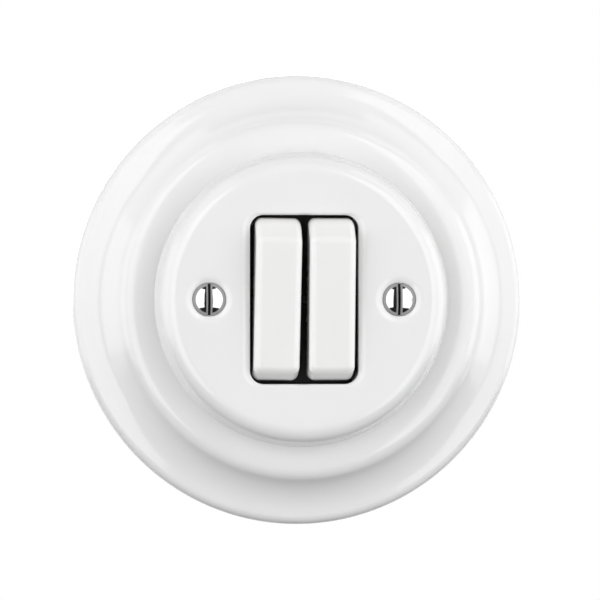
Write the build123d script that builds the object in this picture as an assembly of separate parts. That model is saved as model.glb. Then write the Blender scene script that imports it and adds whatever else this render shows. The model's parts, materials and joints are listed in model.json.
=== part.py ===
from build123d import *
import os
from math import acos, asin, cos, degrees, radians, sin, sqrt, tan

# A round porcelain switch with two rockers, for a 60 mm flush box. Millimetres and degrees.
# Each piece is drawn lying on its back: x to the right, y up the wall and z out of the wall, with the
# wall's surface at z = 0 and the switch's axis at x = y = 0. The finished piece is then stood up, so that
# the front looks along -Y and +Z is up.

# Window in the cover and the two rockers in it
window_width = 23.8
window_height = 36.9
window_corner = 3.0
window_edge_round = 1.1
side_gap = 0.75
middle_gap = 1.5
end_gap = 0.6
rocker_proud = 2.6
rocker_depth = 7.0
rocker_end_draft = 8.0
rocker_end_round = 3.6
rocker_side_round = 1.6
rocker_wall = 2.2
rocker_end_wall = 3.6
rocker_face_thickness = 2.6
rocker_throw = 5.5

# Axle and the moulded yokes that carry the rockers
axle_radius = 1.25
axle_drop = 1.7
axle_running_clearance = 0.05
axle_seat_clearance = 0.02
tongue_clearance = 0.1
hub_inset = 0.7
hub_radius = 3.5
stem_width = 6.4
stem_thickness = 5.6
stem_dip = 1.0
stem_bore_radius = 1.6
bore_roof = 2.4

# Spring and plunger in each stem
spring_radius = 1.15
spring_wire = 0.34
spring_turns = 5
spring_end_clearance = 0.03
plunger_radius = 1.5
plunger_guide = 3.0
plunger_tip_radius = 1.2
plunger_taper = 0.8
plunger_lift = 0.06

# See-saw contact blades
blade_width = 5.0
blade_length = 18.0
blade_thickness = 1.0
blade_corner = 1.2
blade_throw = 8.5
pivot_radius = 0.45
pivot_clearance = 0.05
contact_inset = 1.0
contact_radius = 1.3
contact_dome = 0.7
contact_gap = 0.1
fixed_contact_height = 0.6

# Hood in front of the plate
ear_clearance = 1.25
ear_thickness = 2.2
ear_length = 6.4
ear_wall = 0.65
deck_thickness = 2.0
deck_overhang = 0.35
deck_chamfer = 5.5
hood_wall = 1.6
stop_gap = 0.3
slot_side_clearance = 0.5
slot_end_clearance = 1.5
flange_thickness = 2.0
flange_corner = 3.5
flange_post_gap = 0.5
flange_screw_edge = 2.9
hood_screw_setback = 0.8

# Screws that hold hood, plate and base together
hood_screw_radius = 1.4
hood_screw_length = 11.0
hood_screw_head_radius = 2.5
hood_screw_head_height = 1.8
hood_screw_clearance = 0.2
thread_clearance = 0.05
fastener_slot_width = 0.8
fastener_slot_depth = 0.9

# Support plate and the posts riveted into it
plate_thickness = 1.2
plate_margin = 1.9
plate_opening_margin = 2.0
plate_opening_corner = 2.0
box_pitch = 60.0
box_slot_radius = 2.1
box_slot_length = 6.2
post_radius = 3.0
post_height = 7.0
post_gap = 3.2
post_spigot_radius = 2.2
post_spigot_clearance = 0.05

# Cover
post_clearance = 1.0
spigot_wall = 3.4
spigot_depth = 2.4
spigot_clearance = 0.4
rim_overlap = 3.8
cover_height = 7.5
cover_draft = 12.0
cover_edge_round = 3.8
cover_top = 3.8
boss_radius = 4.4
boss_height = 2.4

# Cover screws, raised countersunk with a straight slot
screw_radius = 1.75
screw_hole_clearance = 0.25
screw_head_radius = 3.6
screw_head_rim = 0.3
screw_dome = 0.65
screw_bevel_width = 0.65
screw_bevel_height = 0.25
screw_slot_width = 1.0
screw_slot_depth = 1.4
screw_tip_lift = 0.6
screw_tip_chamfer = 0.5
head_seat_clearance = 0.05
dimple_radius = 5.3
dimple_depth = 0.45
dimple_floor_margin = 0.15

# Frame ring, from its seat outwards
seat_margin = 2.3
brow_radius = 15.0
brow_slope = 10.0
shoulder_round = 4.0
riser_slope = 54.0
riser_run = 0.5
cove_radius = 11.5
crown_slope = 14.0
crown_run = 1.15
rim_radius = 2.6
rim_undercut = 1.1
foot_width = 4.8
foot_depth = 1.6
ring_flange_thickness = 4.6

# Base with its contact chambers and terminals
base_flange_margin = 0.7
base_depth = 21.0
base_corner = 4.0
base_edge_chamfer = 0.8
chamber_wall = 1.8
chamber_depth = 9.0
strip_width = 5.0
strip_thickness = 1.0
strip_overhang = 2.0
strip_clearance = 0.1
pocket_wall = 1.3
end_pocket_depth = 6.5
pocket_half_width = 4.2
pocket_roof = 0.4
tab_length = 9.5
clamp_size = 7.0
clamp_thickness = 1.2
terminal_screw_drop = 5.5
terminal_screw_radius = 1.5
terminal_screw_depth = 5.0
terminal_head_radius = 2.6
terminal_head_height = 2.0

# Widths, from the window outwards
rocker_width = (window_width - 2 * side_gap - middle_gap) / 2
rocker_x = (rocker_width + middle_gap) / 2
rocker_length = window_height - 2 * end_gap
hub_width = rocker_width - 2 * hub_inset
ear_x = window_width / 2 - side_gap + ear_clearance
hood_half_x = ear_x + ear_thickness
hood_half_y = rocker_length / 2 + deck_overhang
post_x = hood_half_x + post_gap + post_radius
flange_half_x = post_x - post_radius - flange_post_gap
hood_screw_x = flange_half_x - flange_screw_edge
hood_screw_y = hood_half_y - hood_screw_setback
flange_half_y = hood_screw_y + flange_screw_edge
cavity_radius = post_x + post_radius + post_clearance
spigot_radius = cavity_radius + spigot_wall
ring_hole_radius = spigot_radius + spigot_clearance
cover_radius = ring_hole_radius + rim_overlap
plate_radius = box_pitch / 2 + box_slot_length / 2 + plate_margin

# Radii of the ring's outline, from the seat outwards
seat_edge_r = cover_radius + seat_margin
shoulder_r = seat_edge_r + brow_radius * sin(radians(brow_slope))
riser_top_r = shoulder_r + shoulder_round * (sin(radians(riser_slope)) - sin(radians(brow_slope)))
riser_foot_r = riser_top_r + riser_run
crown_in_r = riser_foot_r + cove_radius * (sin(radians(riser_slope)) - sin(radians(crown_slope)))
crown_out_r = crown_in_r + crown_run

# Heights of the ring's outline, from the wall outwards
rim_centre_z = rim_radius - rim_undercut
crown_out_z = rim_centre_z + rim_radius * cos(radians(crown_slope))
crown_in_z = crown_out_z + crown_run * tan(radians(crown_slope))
riser_foot_z = crown_in_z + cove_radius * (cos(radians(crown_slope)) - cos(radians(riser_slope)))
riser_top_z = riser_foot_z + riser_run * tan(radians(riser_slope))
shoulder_z = riser_top_z + shoulder_round * (cos(radians(brow_slope)) - cos(radians(riser_slope)))
seat_z = shoulder_z + brow_radius * (1 - cos(radians(brow_slope)))

# Heights of the cover and the rockers at mid throw
face_z = seat_z + cover_height
ceiling_z = face_z - cover_top
rocker_top_z = face_z + rocker_proud
rocker_foot_z = rocker_top_z - rocker_depth
axle_z = rocker_foot_z - axle_drop
bore_top_z = axle_z - axle_radius - bore_roof
plunger_top_z = plunger_guide - stem_dip
pressed_end_drop = (
    rocker_length / 2 * sin(radians(rocker_throw)) - axle_drop * cos(radians(rocker_throw))
)
deck_z = axle_z - pressed_end_drop - stop_gap
screw_seat_z = face_z - dimple_depth

# Base with its contact chambers, and the pivot of the blades above their floor
chamber_width = 2 * rocker_x - chamber_wall
chamber_outer_x = rocker_x + chamber_width / 2
base_half_x = flange_half_x + base_flange_margin
base_half_y = flange_half_y + base_flange_margin
chamber_half_length = base_half_y - end_pocket_depth - pocket_wall
floor_z = -chamber_depth
strip_top_z = floor_z + strip_thickness
contact_reach = blade_length / 2 - contact_inset
dome_radius = (contact_radius**2 + contact_dome**2) / (2 * contact_dome)
closed_drop = (
    contact_reach * sin(radians(blade_throw))
    + dome_radius
    - (dome_radius - contact_dome) * cos(radians(blade_throw))
)
pivot_z = strip_top_z + fixed_contact_height + contact_gap + closed_drop
tip_centre_z = pivot_z + blade_thickness + plunger_lift + plunger_tip_radius
tab_face = pocket_wall + strip_thickness
terminal_z = floor_z - terminal_screw_drop

LOW = (Align.CENTER, Align.CENTER, Align.MIN)
HIGH = (Align.CENTER, Align.CENTER, Align.MAX)
OUTWARD = (Align.MIN, Align.CENTER, Align.CENTER)
OUTWARD_LOW = (Align.MIN, Align.CENTER, Align.MIN)
OUTWARD_HIGH = (Align.MIN, Align.CENTER, Align.MAX)
SIDES = {"left": -1, "right": 1}


def turned(*edges):
    """Solid of revolution about the z axis, from a closed outline of (radius, height) edges."""
    return revolve(Plane.XZ * make_face(edges), Axis.Z)


def ogee(start, run, rise):
    """Two equal tangent arcs, level at both ends, that climb by rise over run."""
    radius = (run**2 + rise**2) / (4 * abs(rise))
    turn = degrees(acos(1 - abs(rise) / (2 * radius)))
    if rise < 0:
        turn = -turn
    first = JernArc(start, (1, 0), radius, turn)
    second = JernArc(first @ 1, first % 1, radius, -turn)
    return [first, second]


def bar(radius, length):
    """Round bar along x, centred on the origin."""
    return Rot(0, 90, 0) * Cylinder(radius, length)


def tilted(piece, height, angle):
    """The piece turned by angle about the axis along x at that height."""
    return Pos(0, 0, height) * Rot(angle, 0, 0) * Pos(0, 0, -height) * piece


def make_frame_ring():
    """Ring on the wall: seat, brow, round shoulder, riser, wide cove, crown and rolled rim, hollow behind."""
    seat = Line((ring_hole_radius, seat_z), (seat_edge_r, seat_z))
    brow = JernArc((seat_edge_r, seat_z), (1, 0), brow_radius, -brow_slope)
    shoulder = JernArc((shoulder_r, shoulder_z), brow % 1, shoulder_round, brow_slope - riser_slope)
    riser = Line((riser_top_r, riser_top_z), (riser_foot_r, riser_foot_z))
    cove = JernArc((riser_foot_r, riser_foot_z), riser % 1, cove_radius, riser_slope - crown_slope)
    crown = Line((crown_in_r, crown_in_z), (crown_out_r, crown_out_z))
    below_rim = degrees(asin(rim_centre_z / rim_radius))
    rim = JernArc((crown_out_r, crown_out_z), crown % 1, rim_radius, crown_slope - 90 - below_rim)
    foot_r = (rim @ 1).X
    back = Polyline(
        (foot_r, 0),
        (foot_r - foot_width, 0),
        (foot_r - foot_width, foot_depth),
        (shoulder_r, seat_z - ring_flange_thickness),
        (ring_hole_radius, seat_z - ring_flange_thickness),
        (ring_hole_radius, seat_z),
    )
    return turned(seat, brow, shoulder, riser, cove, crown, rim, *back.edges())


def cover_screw_cut():
    """Soft dimple, countersink and clearance hole for one cover screw, on the z axis."""
    floor_radius = screw_head_radius + dimple_floor_margin
    dimple = ogee((floor_radius, screw_seat_z), dimple_radius - floor_radius, dimple_depth)
    hole_radius = screw_radius + screw_hole_clearance
    sink_radius = screw_head_radius + head_seat_clearance
    rim_z = screw_seat_z - screw_head_rim
    above = face_z + screw_dome
    outline = Polyline(
        (dimple_radius, face_z),
        (dimple_radius, above),
        (0, above),
        (0, ceiling_z - boss_height),
        (hole_radius, ceiling_z - boss_height),
        (hole_radius, rim_z - (sink_radius - hole_radius)),
        (sink_radius, rim_z),
        (sink_radius, screw_seat_z),
        (floor_radius, screw_seat_z),
    )
    return turned(*dimple, *outline.edges())


def make_cover():
    """Porcelain cap with a drafted, rounded edge, a spigot in the ring's hole, window and screw seats."""
    top_radius = cover_radius - cover_height * tan(radians(cover_draft))
    outline = Polyline(
        (cavity_radius, seat_z - spigot_depth),
        (spigot_radius, seat_z - spigot_depth),
        (spigot_radius, seat_z),
        (cover_radius, seat_z),
        (top_radius, face_z),
        (0, face_z),
        (0, ceiling_z),
        (cavity_radius, ceiling_z),
        close=True,
    )
    cover = turned(*outline.edges())
    cover = fillet(cover.edges().group_by(Axis.Z)[-1], cover_edge_round)
    window = RectangleRounded(window_width, window_height, window_corner)
    cover -= Pos(0, 0, ceiling_z) * extrude(window, cover_top)
    face_edges = cover.edges().group_by(Axis.Z)[-1].sort_by(SortBy.LENGTH)
    cover = fillet(face_edges[:-1], window_edge_round)
    for side in SIDES.values():
        cover += Pos(side * post_x, 0, ceiling_z) * Cylinder(boss_radius, boss_height, align=HIGH)
        cover -= Pos(side * post_x, 0, 0) * cover_screw_cut()
    return cover


def make_cover_screw(side):
    """Raised countersunk screw with a bevelled dome and a vertical slot, from the cover into its post."""
    dome_edge = screw_head_radius - screw_bevel_width
    dome_z = screw_seat_z + screw_bevel_height
    crown_z = dome_z + screw_dome
    sphere_radius = (dome_edge**2 + screw_dome**2) / (2 * screw_dome)
    dome = JernArc((0, crown_z), (1, 0), sphere_radius, -degrees(asin(dome_edge / sphere_radius)))
    rim_z = screw_seat_z - screw_head_rim
    tip_z = plate_thickness + screw_tip_lift
    shank = Polyline(
        (dome_edge, dome_z),
        (screw_head_radius, screw_seat_z),
        (screw_head_radius, rim_z),
        (screw_radius, rim_z - (screw_head_radius - screw_radius)),
        (screw_radius, tip_z + screw_tip_chamfer),
        (screw_radius - screw_tip_chamfer, tip_z),
        (0, tip_z),
        (0, crown_z),
    )
    screw = turned(dome, *shank.edges())
    slot = Box(screw_slot_width, 3 * screw_head_radius, screw_slot_depth, align=HIGH)
    screw -= Pos(0, 0, crown_z) * slot
    return Pos(side * post_x, 0, 0) * screw


def make_cover_post(side):
    """Threaded post on the plate, riveted through it."""
    post = Pos(0, 0, plate_thickness) * Cylinder(post_radius, post_height, align=LOW)
    post += Cylinder(post_spigot_radius, plate_thickness, align=LOW)
    post -= Cylinder(screw_radius + thread_clearance, plate_thickness + post_height, align=LOW)
    return Pos(side * post_x, 0, 0) * post


def make_rocker(side):
    """Hollow porcelain rocker cap: drafted rounded ends and one soft edge all round its front."""
    half = rocker_length / 2
    lean = rocker_depth * tan(radians(rocker_end_draft))
    outline = make_face(
        Polyline(
            (-half, rocker_foot_z),
            (half, rocker_foot_z),
            (half - lean, rocker_top_z),
            (lean - half, rocker_top_z),
            close=True,
        ).edges()
    )
    outline = fillet(outline.vertices().group_by(Axis.Y)[-1], rocker_end_round)
    cap = extrude(Plane.YZ * outline, rocker_width / 2, both=True)
    sides = cap.faces().filter_by(Axis.X)
    front = [edge for face in sides for edge in face.edges().sort_by(Axis.Z)[1:]]
    cap = fillet(front, rocker_side_round)
    hollow = Box(
        rocker_width - 2 * rocker_wall,
        rocker_length - 2 * rocker_end_wall,
        rocker_depth - rocker_face_thickness,
        align=LOW,
    )
    cap -= Pos(0, 0, rocker_foot_z) * hollow
    return tilted(Pos(side * rocker_x, 0, 0) * cap, axle_z, rocker_throw)


def make_yoke(side):
    """Moulded carrier of one rocker: tongue in the cap, hub on the axle and hollow stem behind it."""
    tongue = Box(
        rocker_width - 2 * (rocker_wall + tongue_clearance),
        rocker_length - 2 * (rocker_end_wall + tongue_clearance),
        rocker_depth - rocker_face_thickness,
        align=LOW,
    )
    hub = Pos(0, 0, axle_z) * bar(hub_radius, hub_width)
    hub -= Pos(0, 0, axle_z) * Box(2 * hub_width, 3 * hub_radius, 2 * hub_radius, align=LOW)
    hub += Pos(0, 0, axle_z) * Box(hub_width, 2 * hub_radius, axle_drop, align=LOW)
    yoke = hub + Pos(0, 0, rocker_foot_z) * tongue
    yoke += Pos(0, 0, -stem_dip) * Box(stem_width, stem_thickness, axle_z + stem_dip, align=LOW)
    yoke -= Pos(0, 0, axle_z) * bar(axle_radius + axle_running_clearance, hub_width)
    yoke -= Pos(0, 0, -stem_dip) * Cylinder(stem_bore_radius, bore_top_z + stem_dip, align=LOW)
    return tilted(Pos(side * rocker_x, 0, 0) * yoke, axle_z, rocker_throw)


def make_spring(side):
    """Compression spring between the plunger and the end of the stem's bore."""
    lift = spring_wire / 2 + spring_end_clearance
    height = bore_top_z - plunger_top_z - 2 * lift
    path = Helix(height / spring_turns, height, spring_radius)
    wire = Plane(path @ 0, z_dir=path % 0) * Rectangle(spring_wire, spring_wire)
    coil = Pos(0, 0, plunger_top_z + lift) * sweep(wire, path, is_frenet=True)
    return tilted(Pos(side * rocker_x, 0, 0) * coil, axle_z, rocker_throw)


def make_plunger(side):
    """Round-nosed pin that the spring presses towards the blade."""
    body = Polyline(
        (0, plunger_top_z),
        (plunger_radius, plunger_top_z),
        (plunger_radius, tip_centre_z + plunger_taper),
        (plunger_tip_radius, tip_centre_z),
    )
    nose = JernArc((plunger_tip_radius, tip_centre_z), (0, -1), plunger_tip_radius, -90)
    axis = Line(nose @ 1, (0, plunger_top_z))
    pin = turned(*body.edges(), nose, axis)
    return tilted(Pos(side * rocker_x, 0, 0) * pin, axle_z, rocker_throw)


def make_axle():
    """Steel pin through both rockers, held in the hood's ears."""
    return Pos(0, 0, axle_z) * bar(axle_radius, 2 * hood_half_x)


def hood_outline(inset):
    """The hood's plan, a rectangle with its corners cut off, drawn smaller by inset."""
    plan = Rectangle(2 * (hood_half_x - inset), 2 * (hood_half_y - inset))
    return chamfer(plan.vertices(), deck_chamfer - inset * (2 - sqrt(2)))


def make_hood():
    """Black hood: flange on the plate, box with a deck that stops the rockers, ears for the axle."""
    flange = RectangleRounded(2 * flange_half_x, 2 * flange_half_y, flange_corner)
    hood = extrude(flange, flange_thickness) + extrude(hood_outline(0), deck_z - plate_thickness)
    hood -= extrude(hood_outline(hood_wall), deck_z - plate_thickness - deck_thickness)
    hood = Pos(0, 0, plate_thickness) * hood
    ear_rise = axle_z - deck_z
    ear_round = axle_radius + ear_wall
    slot = Box(
        hub_width + 2 * slot_side_clearance,
        2 * (hub_radius + slot_end_clearance),
        3 * deck_thickness,
    )
    for side in SIDES.values():
        ear_centre = side * (ear_x + ear_thickness / 2)
        hood += Pos(ear_centre, 0, deck_z) * Box(ear_thickness, ear_length, ear_rise, align=LOW)
        hood += Pos(ear_centre, 0, axle_z) * bar(ear_round, ear_thickness)
        hood -= Pos(side * rocker_x, 0, deck_z) * slot
        for up in (-1, 1):
            hole = Cylinder(hood_screw_radius + hood_screw_clearance, flange_thickness, align=LOW)
            hood -= Pos(side * hood_screw_x, up * hood_screw_y, plate_thickness) * hole
    hood -= Pos(0, 0, axle_z) * bar(axle_radius + axle_seat_clearance, 2 * hood_half_x)
    return hood


def make_hood_screw(side, up):
    """Slotted pan-head screw through hood and plate into the base."""
    head_z = plate_thickness + flange_thickness
    screw = Pos(0, 0, head_z) * Cylinder(hood_screw_head_radius, hood_screw_head_height, align=LOW)
    screw += Pos(0, 0, head_z) * Cylinder(hood_screw_radius, hood_screw_length, align=HIGH)
    slot = Box(fastener_slot_width, 3 * hood_screw_head_radius, fastener_slot_depth, align=HIGH)
    screw -= Pos(0, 0, head_z + hood_screw_head_height) * slot
    return Pos(side * hood_screw_x, up * hood_screw_y, 0) * screw


def make_support_plate():
    """Round steel plate: opening for the mechanism, slots for the box screws, holes for posts and screws."""
    plan = Circle(plate_radius)
    plan -= RectangleRounded(
        2 * (chamber_outer_x + plate_opening_margin),
        2 * (chamber_half_length + plate_opening_margin),
        plate_opening_corner,
    )
    slot = Pos(box_pitch / 2, 0) * SlotOverall(box_slot_length, 2 * box_slot_radius)
    for quarter in range(4):
        plan -= Rot(0, 0, 90 * quarter) * slot
    for side in SIDES.values():
        plan -= Pos(side * post_x, 0) * Circle(post_spigot_radius + post_spigot_clearance)
        for up in (-1, 1):
            hole = Circle(hood_screw_radius + hood_screw_clearance)
            plan -= Pos(side * hood_screw_x, up * hood_screw_y) * hole
    return extrude(plan, plate_thickness)


def stations():
    """Where each terminal leaves its chamber: name, place of the chamber's wall and outward direction."""
    places = {}
    for name, side in SIDES.items():
        places[name + "_common"] = Pos(side * chamber_outer_x, 0, 0) * Rot(0, 0, 90 - 90 * side)
        places[name + "_upper"] = Pos(side * rocker_x, chamber_half_length, 0) * Rot(0, 0, 90)
        places[name + "_lower"] = Pos(side * rocker_x, -chamber_half_length, 0) * Rot(0, 0, -90)
    return places


def make_base():
    """Moulded base: a chamber for each blade, and six terminal pockets open to the side and the back."""
    plan = RectangleRounded(2 * base_half_x, 2 * base_half_y, base_corner)
    base = extrude(plan, -base_depth)
    base = chamfer(base.edges().group_by(Axis.Z)[0], base_edge_chamfer)
    chamber = Box(chamber_width, 2 * chamber_half_length, chamber_depth, align=HIGH)
    for side in SIDES.values():
        base -= Pos(side * rocker_x, 0, 0) * chamber
        for up in (-1, 1):
            depth = hood_screw_length - flange_thickness - plate_thickness
            hole = Cylinder(hood_screw_radius + thread_clearance, depth, align=HIGH)
            base -= Pos(side * hood_screw_x, up * hood_screw_y, 0) * hole
    pocket_top = strip_top_z + pocket_roof
    pocket = Box(2 * base_half_y, 2 * pocket_half_width, pocket_top + base_depth, align=OUTWARD_HIGH)
    passage = Box(
        2 * pocket_wall,
        strip_width + 2 * strip_clearance,
        strip_thickness + strip_clearance,
        align=LOW,
    )
    thread = bar(terminal_screw_radius + thread_clearance, 2 * terminal_screw_depth)
    cut = Pos(pocket_wall, 0, pocket_top) * pocket
    cut += Pos(0, 0, floor_z) * passage
    cut += Pos(pocket_wall, 0, terminal_z) * thread
    for place in stations().values():
        base -= place * cut
    return base


def make_terminal(place, reach):
    """Brass strip on the chamber's floor, bent backwards behind the pocket's clamp."""
    strip = Box(reach + tab_face, strip_width, strip_thickness, align=OUTWARD_LOW)
    terminal = Pos(-reach, 0, floor_z) * strip
    tab = Box(strip_thickness, strip_width, tab_length, align=OUTWARD_HIGH)
    terminal += Pos(pocket_wall, 0, floor_z) * tab
    hole = bar(terminal_screw_radius + thread_clearance, 3 * strip_thickness)
    terminal -= Pos(pocket_wall, 0, terminal_z) * hole
    return place * terminal


def make_throw_terminal(place):
    """Terminal strip that reaches under the blade's moving contact."""
    return make_terminal(place, chamber_half_length - contact_reach + strip_overhang)


def make_common_terminal(place):
    """Terminal strip with the upright round-topped saddle that the blade rocks on."""
    centre = chamber_outer_x - rocker_x
    terminal = make_terminal(Pos(0, 0, 0), centre + blade_width / 2)
    saddle = Box(blade_width, 2 * pivot_radius, pivot_z - strip_top_z, align=LOW)
    terminal += Pos(-centre, 0, strip_top_z) * saddle
    terminal += Pos(-centre, 0, pivot_z) * bar(pivot_radius, blade_width)
    return place * terminal


def make_fixed_contact(side, up):
    """Flat contact rivet head on a terminal strip."""
    head = Cylinder(contact_radius, fixed_contact_height, align=LOW)
    return Pos(side * rocker_x, up * contact_reach, strip_top_z) * head


def on_blade(side, piece):
    """A piece drawn on the level blade, with the pivot at the origin, put where the closed blade lies."""
    return Pos(side * rocker_x, 0, pivot_z) * Rot(-blade_throw, 0, 0) * piece


def make_blade(side):
    """See-saw blade with a groove across its back that sits on the saddle."""
    plan = RectangleRounded(blade_width, blade_length, blade_corner)
    blade = extrude(plan, blade_thickness) - bar(pivot_radius + pivot_clearance, 2 * blade_width)
    return on_blade(side, blade)


def make_blade_contact(side, up):
    """Domed contact rivet head on the back of the blade."""
    dome_angle = degrees(asin(contact_radius / dome_radius))
    dome = JernArc((0, -contact_dome), (1, 0), dome_radius, dome_angle)
    flat = Polyline((contact_radius, 0), (0, 0), (0, -contact_dome))
    return on_blade(side, Pos(0, up * contact_reach, 0) * turned(dome, *flat.edges()))


def make_clamp(place):
    """Square wire clamp under a terminal screw's head."""
    clamp = Box(clamp_thickness, clamp_size, clamp_size, align=OUTWARD)
    clamp -= bar(terminal_screw_radius + strip_clearance, 3 * clamp_thickness)
    return place * Pos(tab_face, 0, terminal_z) * clamp


def make_terminal_screw(place):
    """Slotted screw through clamp and tab into the base."""
    head = Rot(0, 90, 0) * Cylinder(terminal_head_radius, terminal_head_height, align=LOW)
    slot = Box(fastener_slot_depth, fastener_slot_width, 3 * terminal_head_radius, align=OUTWARD)
    head -= Pos(terminal_head_height - fastener_slot_depth, 0, 0) * slot
    length = terminal_screw_depth + strip_thickness + clamp_thickness
    shank = Rot(0, 90, 0) * Cylinder(terminal_screw_radius, length, align=HIGH)
    return place * Pos(tab_face + clamp_thickness, 0, terminal_z) * (head + shank)


def make_pieces():
    """Every node's solids, by the node's name."""
    corners = [(side, up) for side in SIDES.values() for up in (-1, 1)]
    places = stations()
    pieces = {
        "frame_ring": [make_frame_ring()],
        "cover": [make_cover()],
        "cover_screws": [make_cover_screw(side) for side in SIDES.values()],
        "cover_posts": [make_cover_post(side) for side in SIDES.values()],
        "rocker_axle": [make_axle()],
        "mechanism_hood": [make_hood()],
        "mechanism_screws": [make_hood_screw(side, up) for side, up in corners],
        "support_plate": [make_support_plate()],
        "mechanism_base": [make_base()],
        "fixed_contacts": [make_fixed_contact(side, up) for side, up in corners],
        "terminal_clamps": [make_clamp(place) for place in places.values()],
        "terminal_screws": [make_terminal_screw(place) for place in places.values()],
    }
    for name, side in SIDES.items():
        pieces[name + "_rocker"] = [make_rocker(side)]
        pieces[name + "_yoke"] = [make_yoke(side)]
        pieces[name + "_spring"] = [make_spring(side)]
        pieces[name + "_plunger"] = [make_plunger(side)]
        pieces[name + "_contact_blade"] = [make_blade(side)]
        pieces[name + "_blade_contacts"] = [make_blade_contact(side, up) for up in (-1, 1)]
        pieces[name + "_common_terminal"] = [make_common_terminal(places[name + "_common"])]
        for end in ("upper", "lower"):
            pieces[f"{name}_{end}_terminal"] = [make_throw_terminal(places[f"{name}_{end}"])]
    return pieces


os.makedirs("parts", exist_ok=True)
for node, shapes in make_pieces().items():
    solids = [solid for shape in shapes for solid in shape.solids()]
    export_step(Rot(90, 0, 0) * Compound(solids), f"parts/{node}.step")
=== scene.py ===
"""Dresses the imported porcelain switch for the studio.

Glazed shells, plated screws, wound springs and moulded mechanism parts, each riding on its own
body of the frame. Sizes are in millimetres, for a switch that lies on its back: x to the right,
y up the wall and z out of the wall. Finished meshes are stood up and written in metres.
"""

from __future__ import annotations

import json
import logging
from collections.abc import Iterable, Mapping, Sequence
from dataclasses import dataclass, field, replace
from enum import Enum
from math import asin, atan, ceil, copysign, cos, degrees, hypot, pi, radians, sin, sqrt, tan
from typing import Any, ClassVar

import bmesh
import bpy
from bpy.types import ID, Material, Mesh, Node, NodeSocket, NodeTree, Object
from mathutils import Matrix, Vector
from mathutils.geometry import delaunay_2d_cdt


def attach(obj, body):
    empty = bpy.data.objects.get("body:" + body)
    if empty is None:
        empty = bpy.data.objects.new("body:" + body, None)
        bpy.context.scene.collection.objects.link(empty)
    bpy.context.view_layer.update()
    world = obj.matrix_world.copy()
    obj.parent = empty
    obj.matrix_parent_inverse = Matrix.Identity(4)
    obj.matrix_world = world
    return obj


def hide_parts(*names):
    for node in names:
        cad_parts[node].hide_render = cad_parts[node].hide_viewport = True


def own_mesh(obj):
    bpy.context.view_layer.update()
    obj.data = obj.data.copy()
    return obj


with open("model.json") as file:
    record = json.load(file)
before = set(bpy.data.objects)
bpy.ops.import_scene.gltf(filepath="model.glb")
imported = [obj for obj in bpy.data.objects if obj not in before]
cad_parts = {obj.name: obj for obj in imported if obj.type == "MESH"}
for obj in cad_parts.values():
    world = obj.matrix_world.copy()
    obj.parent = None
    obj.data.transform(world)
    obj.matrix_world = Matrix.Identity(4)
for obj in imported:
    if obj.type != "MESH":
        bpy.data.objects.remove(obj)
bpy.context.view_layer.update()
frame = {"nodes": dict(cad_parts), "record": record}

LOG = logging.getLogger("switch")
Point2 = tuple[float, float]
Point3 = tuple[float, float, float]
Colour = tuple[float, float, float]
Inputs = Mapping[str | int, Any]

MM = 0.001
STAND = Matrix.Scale(MM, 4) @ Matrix.Rotation(pi / 2, 4, "X")
WHITE = (1, 1, 1, 1)
CREASE = 35.0  # degrees past which an edge stays sharp
CELLS_INSIDE = 1  # triangulate inside the loops only
# Reach of doubles: in drawn and cut meshes and flat fills in millimetres, the others in metres.
WELD, WELD_CUT, WELD_FLAT = 1e-4, 1e-5, 1e-6
WELD_SEAM, WELD_GROWN, WELD_SOFT = 1e-6, 1e-7, 1e-8


class Slot(Enum):
    """Material slots of the record."""

    PORCELAIN = "porcelain"
    PLATED = "plated_screw"
    BLACK = "black_moulding"
    PALE = "pale_moulding"
    ZINC = "zinc_steel"
    # Near black on the rocker axle: painted shade where it shows in the gaps.
    BLUED = "blued_steel"
    SPRING = "spring_steel"
    BRASS = "brass"
    SILVER = "contact_silver"
    NYLON = "white_nylon"


class Side(Enum):
    """The two halves of the switch, as signs along x."""

    LEFT = -1
    RIGHT = 1

    @property
    def word(self) -> str:
        """The side's name in node and body names."""
        return self.name.lower()


class Tree:
    """A node tree under construction."""

    def __init__(self, tree: NodeTree) -> None:
        """Take over a tree and empty it."""
        self.tree = tree
        tree.nodes.clear()

    def add(self, kind: str, inputs: Inputs | None = None, **settings: Any) -> Node:
        """Add a node, set it up and wire it.

        Args:
            kind: The node's type name.
            inputs: Values or output sockets for the node's inputs, by name or number.
            **settings: The node's own settings, such as its operation.

        Returns:
            The new node.
        """
        node = self.tree.nodes.new(kind)
        for name, value in settings.items():
            setattr(node, name, value)
        for key, value in (inputs or {}).items():
            if isinstance(value, NodeSocket):
                self.tree.links.new(value, node.inputs[key])
            else:
                node.inputs[key].default_value = value
        return node

    def out(
        self, kind: str, inputs: Inputs | None = None, key: str | int = 0, **settings: Any
    ) -> NodeSocket:
        """Add a node in the same way and take one of its outputs, by name or number."""
        return self.add(kind, inputs, **settings).outputs[key]

    def math(self, operation: str, *values: Any) -> NodeSocket:
        """Add a math node on numbers or sockets and take its result."""
        return self.out("ShaderNodeMath", dict(enumerate(values)), operation=operation)

    def mix(self, share: NodeSocket, first: Any, second: Any) -> NodeSocket:
        """Add a mix of two colours, or their sockets, by the second one's share."""
        return self.out("ShaderNodeMix", {0: share, 6: first, 7: second}, 2, data_type="RGBA")


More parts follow.
